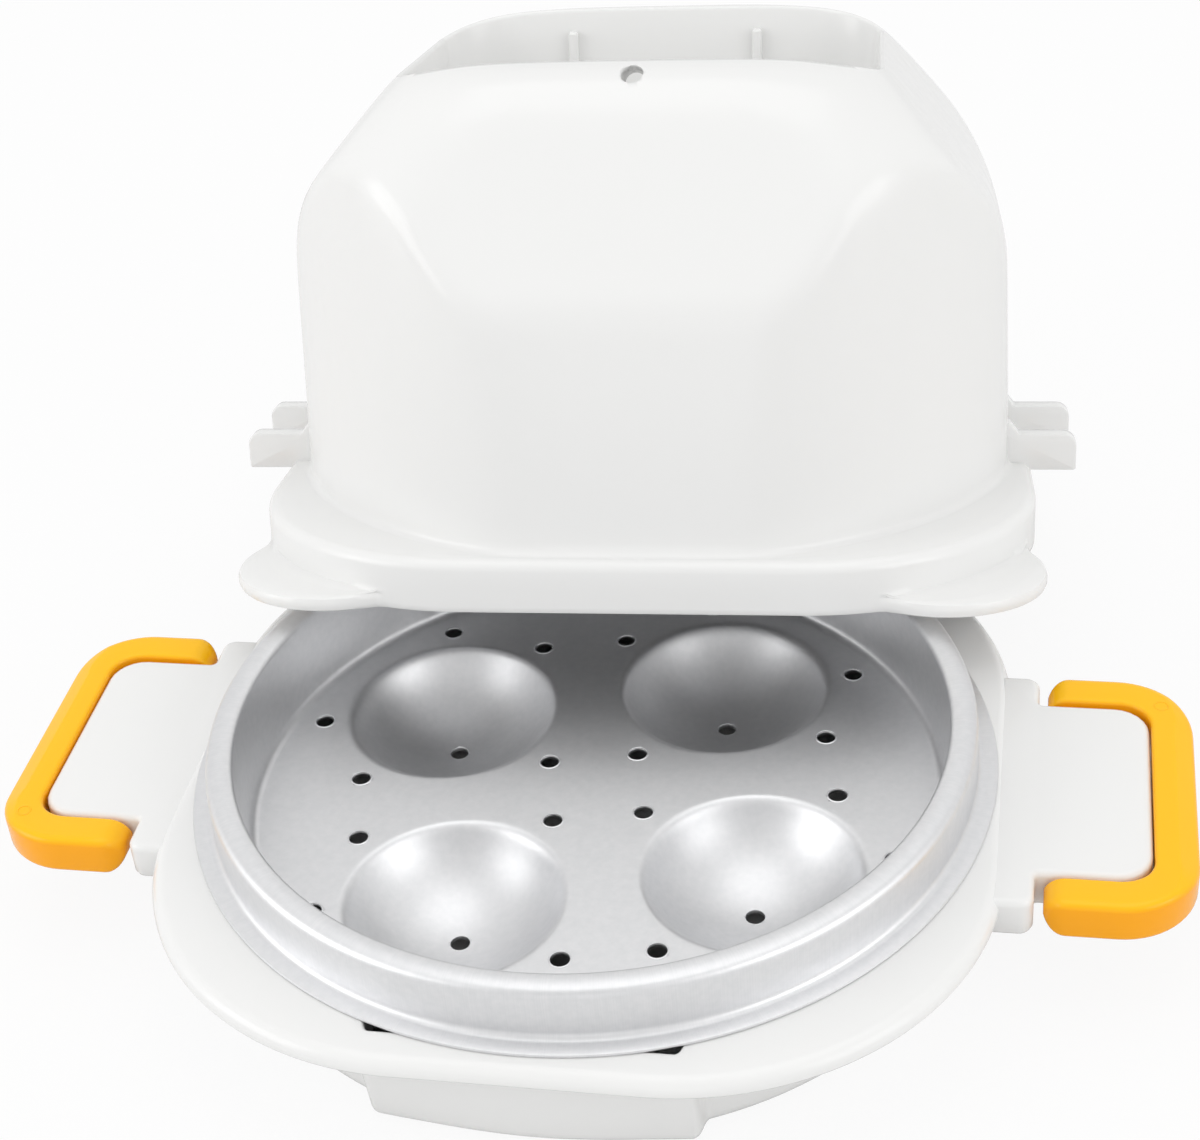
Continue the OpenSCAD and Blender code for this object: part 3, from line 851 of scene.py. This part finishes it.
def dome_height(reach):
    """Height of the dome's skin straight above points at a reach from the middle."""
    foot = level * reach[:, None]
    up = np.tile((0.0, 0.0, 1.0), (len(reach), 1))
    return meet(foot, up)


def skirt_reach(inset):
    return rounded_reach(lid_round, lid_half_w - inset, lid_half_d - inset, skirt_corner - inset)


# The dome's rows are found along rays that fan out from a point inside it
eye_z = 30.0
eye = np.array((0, 0, eye_z))
foot_fillet = 1.4
rim_fillet = 0.9
edge_reach = pocket_reach(rim_fillet)
edge_z = dome_height(edge_reach)
foot_z = skirt_h + foot_fillet
foot_reach = dome_reach(foot_z)
foot_angle = np.arctan2(foot_z - eye_z, foot_reach)
edge_angle = np.arctan2(edge_z - eye_z, edge_reach)
dome_rows = []
dome_steps = 76
for i in range(dome_steps + 1):
    a = foot_angle + (edge_angle - foot_angle) * i / dome_steps
    heading = np.column_stack((np.cos(lid_round) * np.cos(a), np.sin(lid_round) * np.cos(a), np.sin(a)))
    dome_rows.append(eye + heading * meet(eye, heading)[:, None])

# Rows over the pocket's rim, down its wall and over its floor. A rim step is a part of the rim's fillet
# and a drop below the dome's edge.
rim_steps = ((0.45, 0.12), (0.12, 0.4), (0.0, 0.95))
pocket_round = 2.5
pocket_inside = 20.0
pocket_floor = lid_h - pocket_depth
pocket_rows = [ring(lid_round, pocket_reach(rim_fillet * part), edge_z - drop) for part, drop in rim_steps]
wall_top = edge_z - rim_steps[-1][1]
for part in (0.2, 0.45, 0.7, 0.9):
    z = wall_top + (pocket_floor + pocket_round - wall_top) * part
    pocket_rows.append(ring(lid_round, pocket_reach(-pocket_draft * part), z))
for a in quarter(4):
    z = pocket_floor + pocket_round * (1 - math.sin(a))
    pocket_rows.append(ring(lid_round, pocket_reach(-pocket_draft - pocket_round * (1 - math.cos(a))), z))
pocket_rows.append(ring(lid_round, pocket_reach(-pocket_inside), pocket_floor))

fillet_rows = []
foot_line = dome_reach(skirt_h)
for a in quarter(4):
    z = skirt_h + foot_fillet * (1 - math.cos(a))
    fillet_rows.append(ring(lid_round, foot_line + foot_fillet * (1 - math.sin(a)), z))
ledge_rows = []
ledge_end = skirt_reach(ledge_round)
inner_line = foot_line + foot_fillet
ledge_rows.append(ring(lid_round, inner_line + (ledge_end - inner_line) * 0.5, skirt_h))
for a in quarter(6):
    ledge_rows.append(ring(lid_round, skirt_reach(ledge_round * (1 - math.sin(a))),
                           skirt_h - ledge_round * (1 - math.cos(a))))

wall_reach = skirt_reach(0)
ear_mid = np.array((lid_half_w - ear_inset, lid_half_d - ear_inset))
toward_ear = ear_mid[0] * np.abs(np.cos(lid_round)) + ear_mid[1] * np.abs(np.sin(lid_round))
off_ear = ear_mid[0] * np.abs(np.sin(lid_round)) - ear_mid[1] * np.abs(np.cos(lid_round))
ear_reach = np.where(np.abs(off_ear) < ear_r, toward_ear + np.sqrt(np.maximum(ear_r**2 - off_ear**2, 0)), 0)
ear_out = np.maximum(soft_max(ear_reach, wall_reach, ear_blend) - wall_reach, 0)
ear_here = np.clip(ear_out / ear_fade, 0, 1)
ear_here = ear_here * ear_here * (3 - 2 * ear_here)
# Rows from the skirt's wall over the ear's top to its edge. Each has a height without and with an ear,
# the part of the ear's reach that it takes, and how far it stays back from the ear's edge.
ear_steps = ((5.4, 4.6, 0.0, 0.0), (4.9, 3.6, 0.02, 0.0), (4.4, ear_t + 0.12, 0.1, 0.0),
             (3.9, ear_t, 0.3, 0.0), (3.4, ear_t, 0.65, 0.0), (2.9, ear_t - 0.04, 1.0, 1.1),
             (2.4, ear_t - 0.35, 1.0, 0.35), (1.9, ear_t - 1.1, 1.0, 0.0), (1.3, 1.0, 1.0, 0.0),
             (0.5, 0.3, 1.0, 0.3))
skirt_rows = []
for plain_z, ear_z, part, back in ear_steps:
    z = plain_z + (ear_z - plain_z) * ear_here
    skirt_rows.append(ring(lid_round, wall_reach + ear_out * part - back * ear_here, z))
skirt_rows.append(ring(lid_round, wall_reach + ear_out - lip_bevel - ear_bevel * ear_here, 0))
for inset, z in ((plastic - lip_knee, 0), (plastic, lip_bevel),
                 (plastic, under_ledge - corner_bevel), (plastic + corner_bevel, under_ledge)):
    skirt_rows.append(ring(lid_round, skirt_reach(inset), z))
inside_top = 62
inside_top_inset = 3
inside_wall_z = (under_ledge, 20, 40, 55)
inside_rows = []
for z in inside_wall_z:
    inside_rows.append(ring(lid_round, dome_reach(z, plastic), z))
inside_rows.append(ring(lid_round, dome_reach(inside_top, plastic) - inside_top_inset, inside_top))

lid_rows = pocket_rows[::-1] + dome_rows[::-1] + fillet_rows[-2::-1] + ledge_rows + skirt_rows + inside_rows
lid = make_piece("lid_moulding", *skin(lid_rows))

catch_y = 10.4
catch_t = 4.0
catch_z = 9.0
catch_top = 16.9
catch_tip = 89.5
catch_root = 70.0
catch_edge = 0.45
catch_web = 2.6
web_foot_x = dome_half_w + 1.6
web_top_x = dome_half_w - 0.4
web_top = catch_top + catch_web
# Corners of a catch plate, each with its radius
catch_corners = [(catch_root, catch_z, 0.2), (catch_tip, catch_z, 0.5), (catch_tip, catch_top, 2.6),
                 (web_foot_x, catch_top, 0.6), (web_top_x, web_top, 0.6), (catch_root, web_top, 0.2)]


def catch_skin(side, y):
    """One catch plate: an upright tongue with rounded edges, rooted in the dome's wall."""
    knee = catch_edge * 0.3
    rows = []
    for inset, out in ((catch_edge, 0), (knee, knee), (0, catch_edge),
                       (0, catch_t - catch_edge), (knee, catch_t - knee), (catch_edge, catch_t)):
        line = rounded_outline(catch_corners, inset, steps=5)
        depth = np.full(len(line), y - catch_t / 2 + out)
        rows.append(np.column_stack((line[:, 0] * side, depth, line[:, 1])))
    return skin(rows)


catches = [catch_skin(side, y * catch_y) for side in (-1, 1) for y in (-1, 1)]

rib_x = 20.5
rib_t = 2.2
rib_out = 1.1
rib_drop = 5.0
rib_sink = 0.5
rib_bury = 0.6
rib_bevel = 0.4
rib_bevel_h = 0.5
rib_face_round = 0.7
rib_root_round = 0.2
rib_face_y = pocket_half_w - pocket_draft - rib_out
rib_root_y = pocket_half_w + rib_bury
rib_top = lid_h - rib_drop
ribs = []
for x in (-rib_x, rib_x):
    left_x = x - rib_t / 2
    right_x = x + rib_t / 2
    corners = [(left_x, rib_face_y, rib_face_round), (right_x, rib_face_y, rib_face_round),
               (right_x, rib_root_y, rib_root_round), (left_x, rib_root_y, rib_root_round)]
    rows = [flat_row(rounded_outline(corners, inset, steps=4), z) for inset, z in
            ((0, pocket_floor - rib_sink), (0, rib_top - rib_bevel_h), (rib_bevel, rib_top))]
    ribs.append(skin(rows))

stake_inset = 20.0
stake_r = 1.5
head_r = 2 * stake_r
head_h = 1.0
head_wall = 0.6
head_bevel = 0.5
stake_sink = 0.5
stake_round = np.radians(np.arange(0, 360, 15))
head_z = under_ledge - sheet
stake_steps = ((stake_r, under_ledge + stake_sink), (stake_r, head_z), (head_r, head_z),
               (head_r, head_z - head_wall), (head_r - head_bevel, head_z - head_h))
stake = skin([ring(stake_round, r, z) for r, z in stake_steps])
stakes = [moved(stake, x * (lid_half_w - stake_inset), y * (lid_half_d - stake_inset), 0)
          for x in (-1, 1) for y in (-1, 1)]

vent_r = 2.2
vent_at = np.array((1.0, -45.0, 98.2))
vent_rise = math.radians(22)
vent_span = (-14, 20)
vent_round = np.radians(np.arange(0, 360, 9))
vent_way = np.array((0, -math.cos(vent_rise), math.sin(vent_rise)))
vent_up = np.array((0, math.sin(vent_rise), math.cos(vent_rise)))
vent_rows = [vent_at + vent_way * far + np.outer(vent_r * np.cos(vent_round), (1, 0, 0))
             + np.outer(vent_r * np.sin(vent_round), vent_up) for far in vent_span]
cut(lid, make_piece("vent_drill", *skin(vent_rows)))
fittings = make_piece("lid_catches_and_ribs", *joined(*catches, *ribs, *stakes))

lid_place = (Matrix.Translation([v * mm for v in lid_middle]) @ Matrix.Rotation(lid_turn, 4, "Z")
             @ Matrix.Rotation(lid_lean, 4, "X") @ Matrix.Rotation(lid_tip, 4, "Y"))
for piece in (lid, fittings):
    piece.data.transform(lid_place)
    piece.data.materials.clear()
    piece.data.materials.append(white_plastic)
    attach(piece, "lid")
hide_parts("lid_shell")


# Lid liner
# A dome drawn from aluminium sheet inside the lid, which keeps the microwaves off the eggs. Its flange lies
# against the underside of the ledge, where the shell's studs hold it with heads formed by heat.
liner_r = 63.0
liner_h = 58.0
liner_bend = 16.0
liner_edge = 2.3
liner_foot_bend = 1.4
liner_hub = 20
liner_round = np.radians(np.arange(0, 360, 1.5))
shoulder_mid = (liner_r - liner_bend, liner_h - liner_bend)
foot_mid = (liner_r + liner_foot_bend, under_ledge + liner_foot_bend)


def flange_row(inset, z):
    reach = rounded_reach(liner_round, lid_half_w - inset, lid_half_d - inset, skirt_corner - inset)
    return ring(liner_round, reach, z)


outer_side = bend_rows(*shoulder_mid, liner_bend, 90, 0, 12)
outer_side += bend_rows(*foot_mid, liner_foot_bend, 180, 270, 5)
inner_side = bend_rows(*foot_mid, liner_foot_bend + sheet, 270, 180, 5)
inner_side += bend_rows(*shoulder_mid, liner_bend - sheet, 0, 90, 12)
rows = [ring(liner_round, liner_hub, liner_h)] + [ring(liner_round, r, z) for r, z in outer_side]
rows += [flange_row(liner_edge, under_ledge), flange_row(liner_edge, under_ledge - sheet)]
rows += [ring(liner_round, r, z) for r, z in inner_side] + [ring(liner_round, liner_hub, liner_h - sheet)]
liner = make_piece("drawn_lid_liner", *skin(rows))
liner.data.transform(lid_place)
beyond_liner = 400
liner_aluminium = sheet_material("satin_liner_aluminium", beyond_liner, mark_depth=0, satin=(0.30, 0.38))
liner.data.materials.append(liner_aluminium)
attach(liner, "lid")
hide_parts("lid_liner")


# Studio
# A pale floor, soft lamps above and to both sides, and the camera where the photograph was taken from.
scene = bpy.context.scene
scene.view_settings.view_transform = "Standard"

floor_size = 4.0
floor_below = 0.0002
floor_share = 0.9
floor_mesh = bpy.data.meshes.new("studio_floor")
corners = [(x * floor_size, y * floor_size, 0) for x, y in ((-1, -1), (1, -1), (1, 1), (-1, 1))]
floor_mesh.from_pydata(corners, [], [(0, 1, 2, 3)])
floor = bpy.data.objects.new("studio_floor", floor_mesh)
floor.location.z = -floor_below
bpy.context.collection.objects.link(floor)
floor_paint = bpy.data.materials.new("pale_floor")
floor_paint.use_nodes = True
tree = floor_paint.node_tree
tree.nodes.clear()
matte = tree.nodes.new("ShaderNodeBsdfDiffuse")
matte.inputs["Color"].default_value = (0.8, 0.8, 0.8, 1)
glow = tree.nodes.new("ShaderNodeEmission")
glow.inputs["Strength"].default_value = 1.0
seen = tree.nodes.new("ShaderNodeLightPath")
share = tree.nodes.new("ShaderNodeMath")
share.operation = "MULTIPLY"
share.inputs[1].default_value = floor_share
mix = tree.nodes.new("ShaderNodeMixShader")
out = tree.nodes.new("ShaderNodeOutputMaterial")
tree.links.new(seen.outputs["Is Camera Ray"], share.inputs[0])
tree.links.new(share.outputs["Value"], mix.inputs["Fac"])
tree.links.new(matte.outputs["BSDF"], mix.inputs[1])
tree.links.new(glow.outputs["Emission"], mix.inputs[2])
tree.links.new(mix.outputs["Shader"], out.inputs["Surface"])
floor_mesh.materials.append(floor_paint)

# The room is white to the camera, and a little darker in front of the object than behind it
room_front = 0.72
room_back = 0.85
world = bpy.data.worlds.new("studio")
scene.world = world
world.use_nodes = True
tree = world.node_tree
room = tree.nodes["Background"]
room.inputs["Color"].default_value = (1, 1, 1, 1)
seen = tree.nodes.new("ShaderNodeLightPath")
where = tree.nodes.new("ShaderNodeTexCoord")
apart = tree.nodes.new("ShaderNodeSeparateXYZ")
around = tree.nodes.new("ShaderNodeMapRange")
around.inputs["From Min"].default_value = -1.0
around.inputs["From Max"].default_value = 0.0
around.inputs["To Min"].default_value = room_front
around.inputs["To Max"].default_value = room_back
level_of = tree.nodes.new("ShaderNodeMix")
level_of.inputs["B"].default_value = 1.0
tree.links.new(where.outputs["Generated"], apart.inputs["Vector"])
tree.links.new(apart.outputs["Y"], around.inputs["Value"])
tree.links.new(around.outputs["Result"], level_of.inputs["A"])
tree.links.new(seen.outputs["Is Camera Ray"], level_of.inputs["Factor"])
tree.links.new(level_of.outputs["Result"], room.inputs["Strength"])


def lamp(name, place, aim, width, height, power):
    """A soft lamp that faces a point, with places and sizes in metres."""
    light = bpy.data.lights.new(name, "AREA")
    light.shape = "RECTANGLE"
    light.size = width
    light.size_y = height
    light.energy = power
    piece = bpy.data.objects.new(name, light)
    bpy.context.collection.objects.link(piece)
    piece.location = place
    piece.rotation_euler = (Vector(aim) - Vector(place)).to_track_quat("-Z", "Y").to_euler()


middle = (0.0, 0.04, 0.05)
lamp("key_lamp", (-0.95, -0.5, 0.55), middle, 0.7, 0.7, 2.8)
lamp("fill_lamp", (0.95, -0.5, 0.6), middle, 0.7, 0.7, 2.3)
lamp("top_lamp", (0.0, 0.15, 1.2), middle, 1.0, 1.0, 2.1)
lamp("front_lamp", (0.1, -1.3, 0.3), middle, 0.5, 0.4, 0.35)
lamp("left_strip", (-0.62, -0.12, 0.22), middle, 0.25, 0.42, 0.2)
lamp("right_strip", (0.66, -0.10, 0.24), middle, 0.25, 0.42, 0.2)

camera_data = bpy.data.cameras.new("photo_camera")
camera_data.sensor_fit = "HORIZONTAL"
camera_data.sensor_width = 36
camera_data.lens = 69.99
camera_data.clip_start = 0.01
camera = bpy.data.objects.new("photo_camera", camera_data)
bpy.context.collection.objects.link(camera)
right = (0.9831, 0.1679, -0.0724)
up = (-0.0396, 0.5820, 0.8122)
toward = (-0.1785, 0.7956, -0.5789)
camera_at = (78.10, -327.96, 307.38)
camera_rows = [[right[i], up[i], -toward[i], camera_at[i] * mm] for i in range(3)]
camera.matrix_world = Matrix(camera_rows + [[0, 0, 0, 1]])
scene.camera = camera
